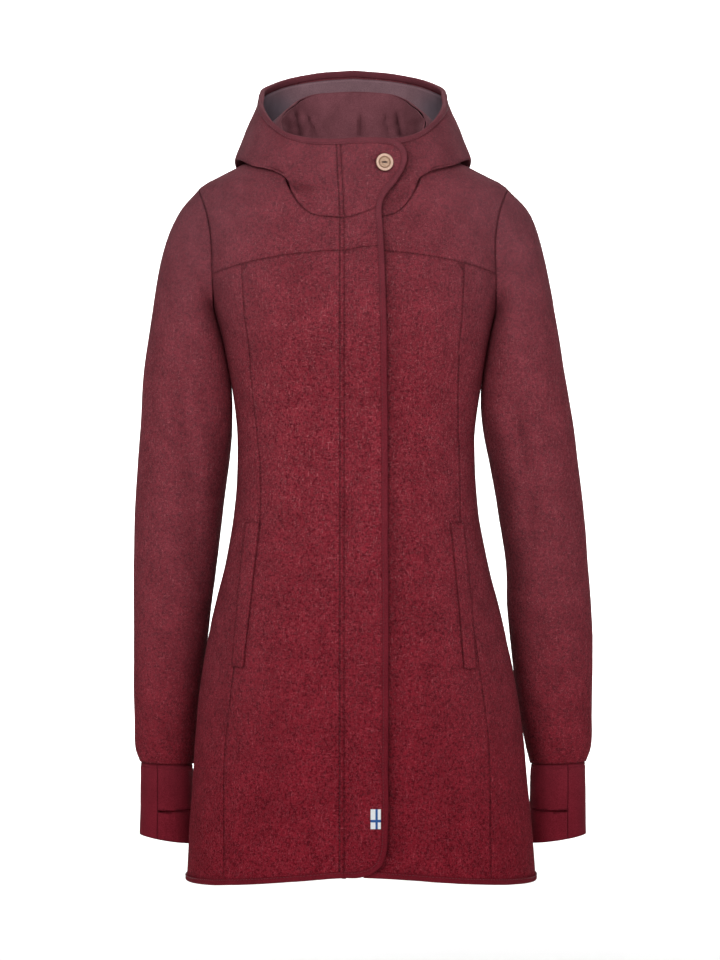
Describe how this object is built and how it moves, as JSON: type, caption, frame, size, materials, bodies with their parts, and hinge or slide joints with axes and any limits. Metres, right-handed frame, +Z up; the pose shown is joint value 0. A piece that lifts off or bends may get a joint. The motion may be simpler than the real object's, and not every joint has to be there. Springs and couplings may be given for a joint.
{
  "type": "hooded wool fleece coat",
  "caption": "Women's hooded A-line coat in melange wool fleece with a rounded bound neck tab, a wooden button, welt pockets and jersey cuffs, filled out as worn.",
  "frame": {"origin": "middle of the neck's base at the height of the shoulder seams' inner ends, inside the neck opening, where the shoulders carry the coat", "axes": "+Z up along the coat, +Y from the front to the back, +X towards the wearer's left"},
  "size_m": [0.5582, 0.3431, 0.9885],
  "materials": {
    "wool_fleece": "melange boiled wool fleece, matt and fuzzy",
    "cuff_jersey": "brushed stretch jersey",
    "lining_jersey": "smooth brushed jersey",
    "binding": "matt stretch tape",
    "button_wood": "pale unvarnished wood",
    "label_weave": "woven ribbon, white with a blue cross"
  },
  "bodies": {
    "root": {"front_centre_right": "wool_fleece", "front_centre_left": "wool_fleece", "front_side_right": "wool_fleece", "front_side_left": "wool_fleece", "front_yoke_right": "wool_fleece", "front_yoke_left": "wool_fleece", "back": "wool_fleece", "hood_side_right": "wool_fleece", "hood_side_left": "wool_fleece", "hood_centre": "wool_fleece", "sleeve_right": "wool_fleece", "sleeve_left": "wool_fleece", "band_collar": "wool_fleece", "band_yoke": "wool_fleece", "band_front": "wool_fleece", "welt_right": "wool_fleece", "welt_left": "wool_fleece", "cuff_right": "cuff_jersey", "cuff_left": "cuff_jersey", "neck_lining": "lining_jersey", "hood_lining": "lining_jersey", "band_binding": "binding", "hem_binding": "binding", "rim_binding": "binding", "button": "button_wood", "flag_label": "label_weave"}
  },
  "joints": []
}
